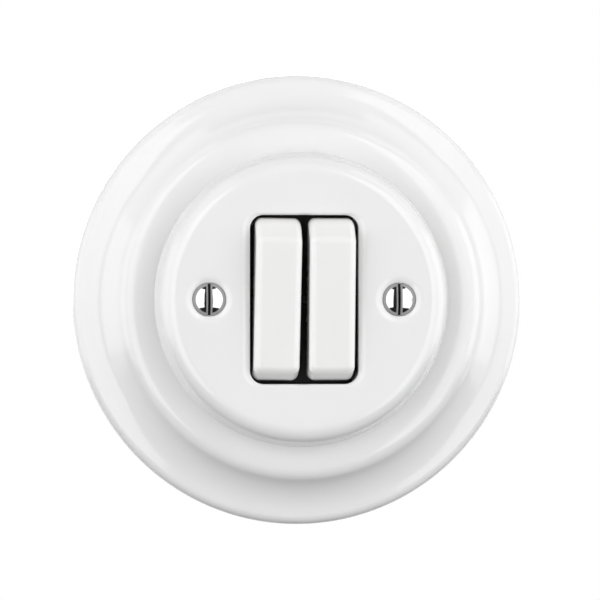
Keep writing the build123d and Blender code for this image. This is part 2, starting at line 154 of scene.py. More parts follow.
@dataclass(frozen=True)
class Finish:
    """A surface: a colour that drifts in patches, a grain in its gloss and a little relief."""

    slot: Slot
    colour: Colour
    drift: Colour
    patch: float
    roughness: float
    roughness_drift: float
    grain: float
    relief: float
    metallic: float = 0.0
    coat: float = 0.0
    coat_roughness: float = 0.04
    # Whether a face attribute paints shade into the colour, roughens the gloss and takes away the
    # metal.
    patina: bool = False
    patina_roughness: float = 0.3
    patch_detail: float = 4.0
    grain_detail: float = 3.0
    label: str = ""

    made: ClassVar[dict[str, Material]] = {}

    def material(self) -> Material:
        """The finish as a node material, made once.

        Returns:
            The material.
        """
        name = self.label or self.slot.value
        if name in self.made:
            return self.made[name]
        material = bpy.data.materials.new(name)
        material.use_nodes = True
        tree = Tree(material.node_tree)
        place = tree.out("ShaderNodeTexCoord", key="Object")
        noise = {"Vector": place, "Scale": 1 / (self.patch * MM), "Detail": self.patch_detail}
        patches = tree.out("ShaderNodeTexNoise", noise)
        noise = {"Vector": place, "Scale": 1 / (self.grain * MM), "Detail": self.grain_detail}
        grain = tree.out("ShaderNodeTexNoise", noise)
        colour = tree.mix(patches, (*self.colour, 1), (*self.drift, 1))
        low, high = self.roughness - self.roughness_drift, self.roughness + self.roughness_drift
        gloss = tree.out("ShaderNodeMapRange", {"Value": grain, "To Min": low, "To Max": high})
        metallic: float | NodeSocket = self.metallic
        # Painted shade from the face attribute: darker colour, rougher gloss, less metal.
        if self.patina:
            patina = tree.add("ShaderNodeAttribute", attribute_name="patina").outputs
            colour = tree.mix(patina["Alpha"], colour, patina["Color"])
            dulled = tree.math("MULTIPLY", patina["Alpha"], self.patina_roughness)
            gloss = tree.math("ADD", gloss, dulled)
            metallic = tree.math("SUBTRACT", self.metallic, patina["Alpha"])
        surface = {
            "Base Color": colour,
            "Roughness": gloss,
            "Normal": tree.out("ShaderNodeBump", {"Height": grain, "Distance": self.relief * MM}),
            "Metallic": metallic,
            "Coat Weight": self.coat,
            "Coat Roughness": self.coat_roughness,
        }
        shader = tree.out("ShaderNodeBsdfPrincipled", surface)
        tree.add("ShaderNodeOutputMaterial", {"Surface": shader})
        self.made[name] = material
        return material


FINISHES = {
    finish.slot: finish
    for finish in (
        # Columns: slot, colour, drift, patch, roughness, its drift, grain, relief, metallic.
        Finish(Slot.PORCELAIN, (0.80,) * 3, (0.84,) * 3, 14.0, 0.16, 0.04, 2.2, 0.012, coat=0.7),
        # The plated screws take painted shade from a face attribute.
        Finish(
            Slot.PLATED, (0.84, 0.84, 0.83), (0.76, 0.76, 0.75), 2.5, 0.07, 0.03, 0.25, 0.001, 1.0,
            patina=True,
        ),
        # Near black: the mechanism's own black plastic, and partly also painted shade behind the
        # gaps round the rocker caps.
        Finish(Slot.BLACK, (0.012,) * 3, (0.02, 0.02, 0.021), 3.0, 0.5, 0.1, 0.18, 0.01),
        Finish(Slot.PALE, (0.70, 0.67, 0.58), (0.76, 0.73, 0.65), 6.0, 0.42, 0.08, 0.25, 0.01),
        Finish(Slot.ZINC, (0.58, 0.59, 0.60), (0.70, 0.70, 0.68), 3.0, 0.34, 0.1, 0.3, 0.006, 1.0),
        # Near black on the rocker axle, painted shade in the gaps round the caps.
        Finish(
            Slot.BLUED, (0.02, 0.02, 0.024), (0.035, 0.035, 0.04), 2.0, 0.4, 0.08, 0.2, 0.004, 0.6
        ),
        Finish(Slot.SPRING, (0.42, 0.42, 0.43), (0.52,) * 3, 1.0, 0.3, 0.08, 0.1, 0.003, 1.0),
        Finish(Slot.BRASS, (0.76, 0.57, 0.25), (0.66, 0.45, 0.17), 2.5, 0.3, 0.1, 0.2, 0.004, 1.0),
        Finish(Slot.SILVER, (0.84, 0.83, 0.8), (0.72, 0.7, 0.66), 1.0, 0.28, 0.1, 0.15, 0.003, 1.0),
        Finish(Slot.NYLON, (0.78, 0.77, 0.73), (0.83, 0.82, 0.79), 2.0, 0.4, 0.08, 0.2, 0.006),
    )
}
NODE_FINISHES = {
    part["node"]: FINISHES[Slot(part["material_slot"])] for part in frame["record"]["subparts"]
}
GLAZE = FINISHES[Slot.PORCELAIN]
# Painted light: the rocker caps wear a lighter, slightly warmer copy of the porcelain glaze, which
# makes them brighter than the cover.
LIT_CAP_GLAZE = replace(
    GLAZE, label="rocker_glaze", colour=(0.835, 0.83, 0.825), drift=(0.875, 0.87, 0.865)
)


def along(heading: float) -> Point2:
    """The step of length 1 in a direction given in degrees."""
    return cos(radians(heading)), sin(radians(heading))


class Outline:
    """An outline drawn in one go: straight runs, and bends that start in line with them."""

    CORNER_STEP: ClassVar[float] = 15.0

    def __init__(self, start: Point2, heading: float) -> None:
        """Put the pen down, to travel in a direction in degrees from the first axis."""
        self.points = [start]
        self.headings = [heading]

    def run(self, length: float, pieces: int = 3) -> Outline:
        """Go straight on.

        Args:
            length: How far.
            pieces: How many steps to take.

        Returns:
            The outline itself, so that moves can be chained.
        """
        x, y = self.points[-1]
        dx, dy = along(self.headings[-1])
        for step in range(1, pieces + 1):
            reach = length * step / pieces
            self.points.append((x + reach * dx, y + reach * dy))
        self.headings += [self.headings[-1]] * pieces
        return self

    def bend(self, radius: float, turn: float, step: float = 3.0) -> Outline:
        """Go round an arc.

        Args:
            radius: The arc's radius.
            turn: Its angle in degrees, positive to the left.
            step: Largest angle between two points.

        Returns:
            The outline itself.
        """
        (x, y), heading = self.points[-1], self.headings[-1]
        side = copysign(radius, turn)
        dx, dy = along(heading)
        x, y = x - side * dy, y + side * dx
        count = max(2, ceil(abs(turn) / step))
        for index in range(1, count + 1):
            angle = heading + turn * index / count
            dx, dy = along(angle)
            self.points.append((x + side * dy, y - side * dx))
            self.headings.append(angle)
        return self

    def face(self, heading: float) -> Outline:
        """Turn on the spot to a new direction of travel, which leaves a sharp corner."""
        self.headings[-1] = heading
        return self

    def corner(self, heading: float, length: float, radius: float = 0.25) -> Outline:
        """Turn a softened corner and go straight on.

        Args:
            heading: The new direction of travel.
            length: Length of the run after the corner, counted from the sharp corner.
            radius: Radius of the softened corner.

        Returns:
            The outline itself.
        """
        turn = (heading - self.headings[-1] + 180) % 360 - 180
        setback = radius * tan(radians(abs(turn)) / 2)
        (x, y), (dx, dy) = self.points[-1], along(self.headings[-1])
        self.points[-1] = (x - setback * dx, y - setback * dy)
        return self.bend(radius, turn, self.CORNER_STEP).run(length - setback)


def circle(radius: float, height: float, count: int, centre: Point2 = (0, 0)) -> list[Point3]:
    """The points of a level circle, counter-clockwise."""
    angles = [2 * pi * index / count for index in range(count)]
    return [(centre[0] + radius * cos(a), centre[1] + radius * sin(a), height) for a in angles]


def rounded_rectangle(width: float, length: float, corner: float, height: float) -> list[Point3]:
    """Points of a level rectangle with round corners.

    Args:
        width: Size along x.
        length: Size along y.
        corner: Radius of the corners.
        height: Its height.

    Returns:
        The points, counter-clockwise, in the same number whatever the sizes.
    """
    path = Outline((corner - width / 2, -length / 2), 0)
    for side in (width, length, width, length):
        path.run(side - 2 * corner, pieces=10).bend(corner, 90, step=6)
    return [(x, y, height) for x, y in path.points[:-1]]


def inside(spot: Vector, loop: Sequence[Point3]) -> bool:
    """Whether a spot is inside a closed loop, seen along z.

    Args:
        spot: The spot.
        loop: The loop's points.

    Returns:
        True if it is.
    """
    within = False
    for (x0, y0, _), (x1, y1, _) in zip(loop, (*loop[1:], loop[0])):
        if (y0 > spot.y) != (y1 > spot.y) and spot.x < x0 + (spot.y - y0) * (x1 - x0) / (y1 - y0):
            within = not within
    return within


class Shell:
    """The skin of one piece, gathered patch by patch."""

    def __init__(self) -> None:
        """Start with nothing."""
        self.points: list[Point3] = []
        self.faces: list[tuple[int, ...]] = []

    def skin(self, loops: Sequence[Sequence[Point3]], closed: bool = True) -> None:
        """Join neighbouring loops of equal length by quads.

        Args:
            loops: Rows of points.
            closed: Whether each row runs back to its start.
        """
        first = len(self.points)
        count = len(loops[0])
        for loop in loops:
            self.points += loop
        for row in range(len(loops) - 1):
            for column in range(count if closed else count - 1):
                a = first + row * count + column
                b = first + row * count + (column + 1) % count
                self.faces.append((a, b, b + count, a + count))

    def cap(self, loop: Sequence[Point3]) -> None:
        """Close a loop by one face."""
        self.faces.append(tuple(range(len(self.points), len(self.points) + len(loop))))
        self.points += loop

    def fill(
        self, loops: Sequence[Sequence[Point3]], guides: Iterable[Sequence[Point3]] = ()
    ) -> None:
        """Fill the level area inside the first loop and outside the others.

        Args:
            loops: The border, then the holes, all at one height.
            guides: Loops inside the area that the mesh follows as well.
        """
        flat: list[Vector] = []
        edges: list[tuple[int, int]] = []
        for loop in (*loops, *guides):
            start = len(flat)
            flat += [Vector(point[:2]) for point in loop]
            edges += [(start + i, start + (i + 1) % len(loop)) for i in range(len(loop))]
        spots, _, cells, *_ = delaunay_2d_cdt(flat, edges, [], CELLS_INSIDE, WELD_FLAT)
        first = len(self.points)
        height = loops[0][0][2]
        self.points += [(spot.x, spot.y, height) for spot in spots]
        for cell in cells:
            middle = sum((spots[i] for i in cell), Vector((0, 0))) / len(cell)
            if inside(middle, loops[0]) and not any(inside(middle, hole) for hole in loops[1:]):
                self.faces.append(tuple(first + i for i in cell))

    def mesh(self, name: str, place: Matrix = STAND) -> Mesh:
        """Close the skin, turn it outwards and bring it to its place.

        Args:
            name: The mesh's name.
            place: Takes the drawing, in millimetres, to its place; stands it up if not given.

        Returns:
            The mesh.
        """
        mesh = bpy.data.meshes.new(name)
        mesh.from_pydata(self.points, [], self.faces)
        tidy(mesh, WELD)
        mesh.transform(place)
        return mesh


def tidy(mesh: Mesh, reach: float, crease: float = CREASE) -> None:
    """Merge a mesh's doubles, turn its faces outwards and shade it smooth between its creases.

    Args:
        mesh: The mesh.
        reach: Distance under which two points are one.
        crease: Angle in degrees past which an edge stays sharp.
    """
    work = bmesh.new()
    work.from_mesh(mesh)
    bmesh.ops.remove_doubles(work, verts=work.verts, dist=reach)
    bmesh.ops.dissolve_degenerate(work, edges=work.edges, dist=reach)
    bmesh.ops.recalc_face_normals(work, faces=work.faces)
    for face in work.faces:
        face.smooth = True
    work.to_mesh(mesh)
    work.free()
    mesh.set_sharp_from_angle(angle=radians(crease))


def put(name: str, data: ID) -> Object:
    """Put a mesh, lamp or camera into the scene.

    Args:
        name: Name of the object.
        data: What it shows.

    Returns:
        The object, at the origin.
    """
    item = bpy.data.objects.new(name, data)
    bpy.context.scene.collection.objects.link(item)
    return item


def baked(carrier: Object) -> Mesh:
    """Keep what an object's modifiers make of its mesh, and drop the object with them.

    Args:
        carrier: The object.

    Returns:
        The new mesh, under the object's name.
    """
    graph = bpy.context.evaluated_depsgraph_get()
    mesh = bpy.data.meshes.new_from_object(carrier.evaluated_get(graph))
    name, source = carrier.name, carrier.data
    carrier.modifiers.clear()
    bpy.data.objects.remove(carrier)
    bpy.data.meshes.remove(source)
    mesh.name = name
    return mesh


def place_piece(mesh: Mesh, body: str, finish: Finish, *nodes: str) -> Object:
    """Put a finished mesh into the scene as a piece of the switch.

    Args:
        mesh: The mesh, in its place.
        body: The body that it rides on.
        finish: Its finish.
        *nodes: The nodes of the frame that it stands for.

    Returns:
        The piece.
    """
    piece = put(mesh.name, mesh)
    mesh.materials.clear()
    mesh.materials.append(finish.material())
    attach(piece, body)
    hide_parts(*nodes)
    LOG.info("%s: %d faces on %s", piece.name, len(mesh.polygons), body)
    return piece


def grown(
    base: Mesh, tree: NodeTree, values: Mapping[str, Any], name: str, crease: float = CREASE
) -> Mesh:
    """Run a geometry tree on a mesh and keep the result as a plain mesh.

    Args:
        base: The mesh that goes into the tree.
        tree: The tree.
        values: The tree's inputs, by name.
        name: Name of the result.
        crease: Angle in degrees past which an edge stays sharp.

    Returns:
        The new mesh.
    """
    carrier = put(name, base)
    modifier = carrier.modifiers.new(name, "NODES")
    modifier.node_group = tree
    for item in tree.interface.items_tree:
        if item.in_out == "INPUT" and item.name in values:
            modifier[item.identifier] = values[item.name]
    mesh = baked(carrier)
    tidy(mesh, WELD_GROWN, crease)
    return mesh


def open_tree(name: str, **kinds: str) -> tuple[Tree, Mapping[str, NodeSocket]]:
    """Start a geometry tree.

    Args:
        name: The tree's name.
        **kinds: Types of the inputs between geometry and material, by name.

    Returns:
        The tree and the sockets of its inputs.
    """
    group = bpy.data.node_groups.new(name, "GeometryNodeTree")
    kinds = {"Geometry": "Geometry", **kinds, "Material": "Material"}
    for label, kind in kinds.items():
        group.interface.new_socket(label, in_out="INPUT", socket_type=f"NodeSocket{kind}")
    group.interface.new_socket("Geometry", in_out="OUTPUT", socket_type="NodeSocketGeometry")
    tree = Tree(group)
    return tree, tree.add("NodeGroupInput").outputs


def close_tree(tree: Tree, given: Mapping[str, NodeSocket], shape: NodeSocket) -> NodeTree:
    """End a geometry tree in real, dressed geometry.

    Args:
        tree: The tree.
        given: The sockets of its inputs.
        shape: The geometry so far.

    Returns:
        The finished tree.
    """
    real = tree.out("GeometryNodeRealizeInstances", {"Geometry": shape})
    dress = {"Geometry": real, "Material": given["Material"]}
    tree.add("NodeGroupOutput", {0: tree.out("GeometryNodeSetMaterial", dress)})
    return tree.tree


def turning_tree() -> NodeTree:
    """Tree that turns an outline of (radius, 0, height) points about the switch's axis.

    Returns:
        The tree, with the number of segments as its input.
    """
    tree, given = open_tree("turned shell", Segments="Int")
    outline, segments = given["Geometry"], given["Segments"]
    rows = tree.out("GeometryNodeAttributeDomainSize", {"Geometry": outline}, "Point Count")
    size = {"Vertices X": tree.math("ADD", segments, 1), "Vertices Y": rows}
    grid = tree.out("GeometryNodeMeshGrid", size, "Mesh")
    # Half a step more keeps whole numbers whole when they are rounded down.
    index = tree.math("ADD", tree.out("GeometryNodeInputIndex"), 0.5)
    column = tree.math("FLOOR", tree.math("DIVIDE", index, rows))
    row = tree.math("FLOOR", tree.math("SUBTRACT", index, tree.math("MULTIPLY", column, rows)))
    look = {"Geometry": outline, "Value": tree.out("GeometryNodeInputPosition"), "Index": row}
    spot = tree.out("GeometryNodeSampleIndex", look, data_type="FLOAT_VECTOR")
    parts = tree.add("ShaderNodeSeparateXYZ", {0: spot}).outputs
    angle = tree.math("MULTIPLY", tree.math("DIVIDE", column, segments), 2 * pi)
    turned = {
        "X": tree.math("MULTIPLY", parts["X"], tree.math("COSINE", angle)),
        "Y": tree.math("MULTIPLY", parts["Z"], -1.0),
        "Z": tree.math("MULTIPLY", parts["X"], tree.math("SINE", angle)),
    }
    place = {"Geometry": grid, "Position": tree.out("ShaderNodeCombineXYZ", turned)}
    moved = tree.out("GeometryNodeSetPosition", place)
    closed = tree.out("GeometryNodeMergeByDistance", {"Geometry": moved, "Distance": WELD_SEAM})
    return close_tree(tree, given, closed)


def scatter_tree() -> NodeTree:
    """Tree that sets a copy of one piece on every point, turned by the point's own angles.

    Returns:
        The tree, with the piece to copy as its input.
    """
    tree, given = open_tree("set of fasteners", Piece="Object")
    piece = tree.out("GeometryNodeObjectInfo", {"Object": given["Piece"]}, "Geometry")
    angles = tree.out("GeometryNodeInputNamedAttribute", {"Name": "turn"}, data_type="FLOAT_VECTOR")
    turn = tree.out("FunctionNodeEulerToRotation", {0: angles})
    copies = {"Points": given["Geometry"], "Instance": piece, "Rotation": turn}
    return close_tree(tree, given, tree.out("GeometryNodeInstanceOnPoints", copies))


def coil_tree() -> NodeTree:
    """Tree that winds a round wire into a coil along z.

    Returns:
        The tree, with the coil's sizes and the number of steps per turn and sides as its inputs.
    """
    sizes = dict.fromkeys(("Turns", "Radius", "Height", "Wire"), "Float")
    tree, given = open_tree("coil", **sizes, Steps="Int", Sides="Int")
    winding = {
        "Resolution": given["Steps"],
        "Rotations": given["Turns"],
        "Start Radius": given["Radius"],
        "End Radius": given["Radius"],
        "Height": given["Height"],
    }
    path = tree.out("GeometryNodeCurveSpiral", winding)
    section = {"Resolution": given["Sides"], "Radius": given["Wire"]}
    wire = {
        "Curve": path,
        "Profile Curve": tree.out("GeometryNodeCurvePrimitiveCircle", section),
        "Fill Caps": True,
    }
    return close_tree(tree, given, tree.out("GeometryNodeCurveToMesh", wire))


@dataclass
class FrameRing:
    """The stepped porcelain ring on the wall."""

    hole_radius: float = 28.6
    seat_width: float = 6.1
    brow_radius: float = 15.0
    brow_slope: float = 10.0
    shoulder_round: float = 4.0
    riser_slope: float = 54.0
    riser_run: float = 0.5
    cove_radius: float = 11.5
    crown_slope: float = 14.0
    crown_run: float = 1.15
    rim_radius: float = 2.6
    rim_undercut: float = 1.1
    foot_width: float = 4.8
    foot_depth: float = 1.6
    flange_thickness: float = 4.6
    segments: int = 300

    def front(self) -> Outline:
        """The outline from the hole's edge over the rim to the wall, with the seat at height 0.

        Returns:
            The outline of (radius, height) points.
        """
        undercut = degrees(asin(1 - self.rim_undercut / self.rim_radius))
        path = Outline((self.hole_radius, 0), 0).run(self.seat_width, pieces=5)
        path.bend(self.brow_radius, -self.brow_slope, step=1)
        path.bend(self.shoulder_round, self.brow_slope - self.riser_slope, step=2)
        path.run(self.riser_run / cos(radians(self.riser_slope)), pieces=8)
        path.bend(self.cove_radius, self.riser_slope - self.crown_slope, step=1.5)
        path.run(self.crown_run / cos(radians(self.crown_slope)), pieces=5)
        return path.bend(self.rim_radius, self.crown_slope - 90 - undercut, step=4)

    @property
    def seat_height(self) -> float:
        """Height of the cover's seat above the wall."""
        return -self.front().points[-1][1]

    def outline(self) -> list[Point2]:
        """The whole closed outline, front and hollow back.

        Returns:
            The (radius, height) points; the last is the first again.
        """
        path = self.front()
        seat = self.seat_height
        flange = seat - self.flange_thickness
        brow = self.brow_radius * sin(radians(self.brow_slope))
        shoulder = self.hole_radius + self.seat_width + brow
        hollow = path.points[-1][0] - self.foot_width
        slope = degrees(atan((flange - self.foot_depth) / (hollow - shoulder)))
        path.corner(180, self.foot_width).corner(90, self.foot_depth)
        path.corner(180 - slope, hypot(hollow - shoulder, flange - self.foot_depth))
        path.corner(180, shoulder - self.hole_radius).corner(90, self.flange_thickness)
        return [(r, z + seat) for r, z in path.points[:-1]] + [(self.hole_radius, seat)]

    def build(self) -> None:
        """Turn the ring and put it on the wall."""
        base = bpy.data.meshes.new("ring_outline")
        base.from_pydata([(r * MM, 0, z * MM) for r, z in self.outline()], [], [])
        values = {"Segments": self.segments, "Material": GLAZE.material()}
        mesh = grown(base, turning_tree(), values, "porcelain_ring")
        place_piece(mesh, "switch", GLAZE, "frame_ring")


@dataclass
class Cover:
    """The porcelain cap in the ring, with the window and two screw seats."""

    seat_height: float
    radius: float = 32.4
    height: float = 7.5
    draft: float = 12.0
    edge_round: float = 3.8
    foot_corner: float = 0.02
    spigot_radius: float = 28.2
    spigot_depth: float = 2.4
    cavity_radius: float = 24.8
    top: float = 3.8
    window_width: float = 23.8
    window_length: float = 36.9
    window_corner: float = 3.0
    window_side_round: float = 2.0
    window_end_round: float = 0.6
    window_drop: float = 0.9
    window_power: float = 2.4
    window_steps: int = 14
    window_land: float = 0.1
    screw_x: float = 20.8
    dimple_radius: float = 5.5
    dimple_slope: float = 32.0
    seat_depth: float = 0.45
    seat_segments: int = 96
    sink_radius: float = 3.7
    sink_rim: float = 0.3
    sink_corner: float = 0.06
    hole_radius: float = 2.0
    boss_radius: float = 3.8
    boss_height: float = 2.4
    guide_gap: float = 0.15
    guide_spread: float = 1.2
    segments: int = 300

    @property
    def face(self) -> float:
        """Height of the flat front above the wall."""
        return self.seat_height + self.height

    @property
    def ceiling(self) -> float:
        """Height of the cavity's ceiling above the wall."""
        return self.face - self.top

    def side(self) -> list[Point2]:
        """The outline from the cavity's foot round the outside to the flat front.

        Returns:
            The (radius, height) points.
        """
        turn = 90 - self.draft
        setback = self.edge_round * tan(radians(turn) / 2)
        path = Outline((self.cavity_radius, self.seat_height - self.spigot_depth), 0)
        path.run(self.spigot_radius - self.cavity_radius, pieces=4)
        path.corner(90, self.spigot_depth)
        path.corner(0, self.radius - self.spigot_radius, self.foot_corner)
        path.face(90 + self.draft).run(self.height / cos(radians(self.draft)) - setback)
        return path.bend(self.edge_round, turn).points

    def window_loop(self, spread: float, height: float) -> list[Point3]:
        """A loop round the window, whose long sides are softened more than its ends.

        Args:
            spread: Where it runs: 0 is the window's wall, 1 the edge of the flat front.
            height: Its height.

        Returns:
            The loop's points.
        """
        width = self.window_width + 2 * self.window_side_round * spread
        length = self.window_length + 2 * self.window_end_round * spread
        corner = self.window_corner + self.window_end_round * spread
        return rounded_rectangle(width, length, corner, height)

    def screw_seat(self) -> list[Point2]:
        """The outline from the dimple's edge down through the cover to the boss's outside.

        Returns:
            The (radius, height) points.
        """
        radius = (self.dimple_radius - self.sink_radius) / sin(radians(self.dimple_slope))
        depth = self.sink_radius - self.hole_radius
        bottom = self.ceiling - self.boss_height
        path = Outline((self.dimple_radius, self.face), 180).bend(radius, self.dimple_slope)
        path.corner(270, self.sink_rim, self.sink_corner)
        path.face(225).run(depth * sqrt(2))
        path.face(270).run(path.points[-1][1] - bottom)
        path.face(0).run(self.boss_radius - self.hole_radius)
        return path.face(90).run(self.boss_height).points

    def build(self) -> None:
        """Make the cover and put it on the ring."""
        shell = Shell()
        side = self.side()
        outside = [circle(r, z, self.segments) for r, z in side]
        inner = circle(self.cavity_radius, self.ceiling, self.segments)
        window: list[list[Point3]] = []
        for step in range(self.window_steps + 1):
            share = step / self.window_steps
            drop = self.window_drop * share**self.window_power
            window.append(self.window_loop(1 - share, self.face - drop))
        for height in (self.face - self.window_drop - self.window_land, self.ceiling):
            window.append(self.window_loop(0, height))
        for loops in (outside, window, [outside[0], inner]):
            shell.skin(loops)
        rims: list[list[Point3]] = []
        guides: list[list[Point3]] = []
        bosses: list[list[Point3]] = []
        beside = self.dimple_radius + self.guide_gap
        for place in Side:
            centre = (place.value * self.screw_x, 0)
            seat = [circle(r, z, self.seat_segments, centre) for r, z in self.screw_seat()]
            shell.skin(seat)
            rims.append(seat[0])
            guides.append(circle(beside, self.face, self.seat_segments, centre))
            bosses.append(seat[-1])
        guides.append(circle(side[-1][0] - self.guide_gap, self.face, self.segments))
        guides.append(self.window_loop(self.guide_spread, self.face))
        shell.fill([outside[-1], window[0], *rims], guides)
        shell.fill([inner, window[-1], *bosses])
        place_piece(shell.mesh("porcelain_cover"), "switch", GLAZE, "cover")


@dataclass
class Rocker:
    """One porcelain rocker cap, tilted about the axle, and the coil spring in its stem."""

    side: Side
    cover_face: float
    proud: float = 2.6
    depth: float = 7.0
    length: float = 35.6
    width: float = 10.1
    centre_x: float = 5.95
    offset: float = 0.3
    skew: float = 0.0
    foot_height: float = 2.6
    foot_round: float = 6.0
    low_slope: float = 60.0
    high_slope: float = 47.0
    knee_round: float = 2.1
    side_round: float = 1.6
    side_step: int = 6
    flat_steps: int = 4
    wall: float = 2.05
    end_wall: float = 3.55
    mouth_corner: float = 0.4
    face_thickness: float = 2.6
    axle_drop: float = 1.7
    throw: float = 5.5
    bore_top_drop: float = 3.65
    plunger_top: float = 2.0
    spring_radius: float = 1.15
    spring_wire: float = 0.17
    spring_turns: float = 5.0
    spring_steps: int = 40
    spring_sides: int = 12
    plunger_stroke: float = 0.5

    @property
    def axle_height(self) -> float:
        """Height of the axle above the wall."""
        return self.cover_face + self.proud - self.depth - self.axle_drop

    def tilt(self) -> Matrix:
        """The place on the axle, tilted, of what is drawn upright."""
        place = Matrix.Translation((self.side.value * self.centre_x, 0, self.axle_height))
        return place @ Matrix.Rotation(radians(self.throw), 4, "X")

    def end(self, slope: float) -> Point3:
        """Lengths of one end of the cap's outline.

        Args:
            slope: The end's slope in degrees.

        Returns:
            Its upright run, its sloped run, and how far the face starts behind the foot.
        """
        drop = self.depth - self.foot_height
        lip = self.foot_round * tan(radians(90 - slope) / 2)
        knee = self.knee_round * tan(radians(slope) / 2)
        sloped = drop / sin(radians(slope)) - lip - knee
        return self.foot_height - lip, sloped, drop / tan(radians(slope)) + knee

    def profile(self) -> Outline:
        """The cap's outline seen from the side, from foot to foot.

        Returns:
            The outline of (y, z) points above the axle.
        """
        low, high = self.low_slope, self.high_slope
        low_upright, low_sloped, low_reach = self.end(low)
        high_upright, high_sloped, high_reach = self.end(high)
        path = Outline((self.offset - self.length / 2, self.axle_drop), 90)
        path.run(low_upright).bend(self.foot_round, low - 90)
        path.run(low_sloped, pieces=6).bend(self.knee_round, -low)
        path.run(self.length - low_reach - high_reach, pieces=24).bend(self.knee_round, -high)
        path.run(high_sloped, pieces=6).bend(self.foot_round, high - 90)
        return path.run(high_upright)

    def cap(self) -> Mesh:
        """The cap: one soft edge all round its front, hollow behind.

        Returns:
            The mesh, tilted and in its place.
        """
        flat_half = self.width / 2 - self.side_round
        turns = [radians(angle) for angle in range(0, 91, self.side_step)]
        radius = self.side_round
        edge = [(flat_half + radius * sin(turn), radius * (1 - cos(turn))) for turn in turns]
        steps = range(1 - self.flat_steps, self.flat_steps)
        flat = [(flat_half * step / self.flat_steps, 0.0) for step in steps]
        columns = [(-x, inset) for x, inset in reversed(edge)] + flat + edge
        path = self.profile()
        last = len(path.points) - 1
        rows: list[list[Point3]] = []
        for index, ((y, z), heading) in enumerate(zip(path.points, path.headings)):
            dy, dz = along(heading)
            row: list[Point3] = []
            for x, inset in columns:
                # The feet stay level, so their points slide along the outline.
                slide = dy * inset / dz if index in (0, last) else 0.0
                row.append((x, y + dz * inset + dy * slide, z - dy * inset + dz * slide))
            rows.append(row)
        shell = Shell()
        shell.skin(rows, closed=False)
        for column in (0, -1):
            shell.cap([row[column] for row in rows])
        mouth_size = (self.width - 2 * self.wall, self.length - 2 * self.end_wall)
        mouth = rounded_rectangle(*mouth_size, self.mouth_corner, self.axle_drop)
        roof = [(x, y, z + self.depth - self.face_thickness) for x, y, z in mouth]
        shell.fill([rows[0] + rows[-1][::-1], mouth])
        shell.skin([mouth, roof])
        shell.fill([roof])
        turned = STAND @ self.tilt() @ Matrix.Rotation(radians(self.skew), 4, "Z")
        return shell.mesh(f"{self.side.word}_porcelain_rocker", turned)

    def spring(self) -> Mesh:
        """The wound spring between the plunger and the end of the stem's bore.

        Returns:
            The mesh, tilted and in its place.
        """
        low = self.plunger_top - self.axle_height + self.spring_wire
        high = -self.bore_top_drop - self.spring_wire
        values = {
            "Turns": self.spring_turns,
            "Radius": self.spring_radius,
            "Height": high - low,
            "Wire": self.spring_wire,
            "Steps": self.spring_steps,
            "Sides": self.spring_sides,
            "Material": FINISHES[Slot.SPRING].material(),
        }
        name = f"{self.side.word}_wound_spring"
        mesh = grown(bpy.data.meshes.new(name), coil_tree(), values, name)
        mesh.transform(STAND @ self.tilt() @ Matrix.Translation((0, 0, low)))
        return mesh

    def build(self) -> None:
        """Make the cap and the spring."""
        word = self.side.word
        body = f"{word}_rocker"
        # The caps wear the lighter glaze, which is painted light.
        place_piece(self.cap(), body, LIT_CAP_GLAZE, body)
        spring = place_piece(self.spring(), body, FINISHES[Slot.SPRING], f"{word}_spring")
        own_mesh(spring)


class Head(Enum):
    """Forms of a screw's head."""

    RAISED = "raised countersunk"
    PAN = "pan"


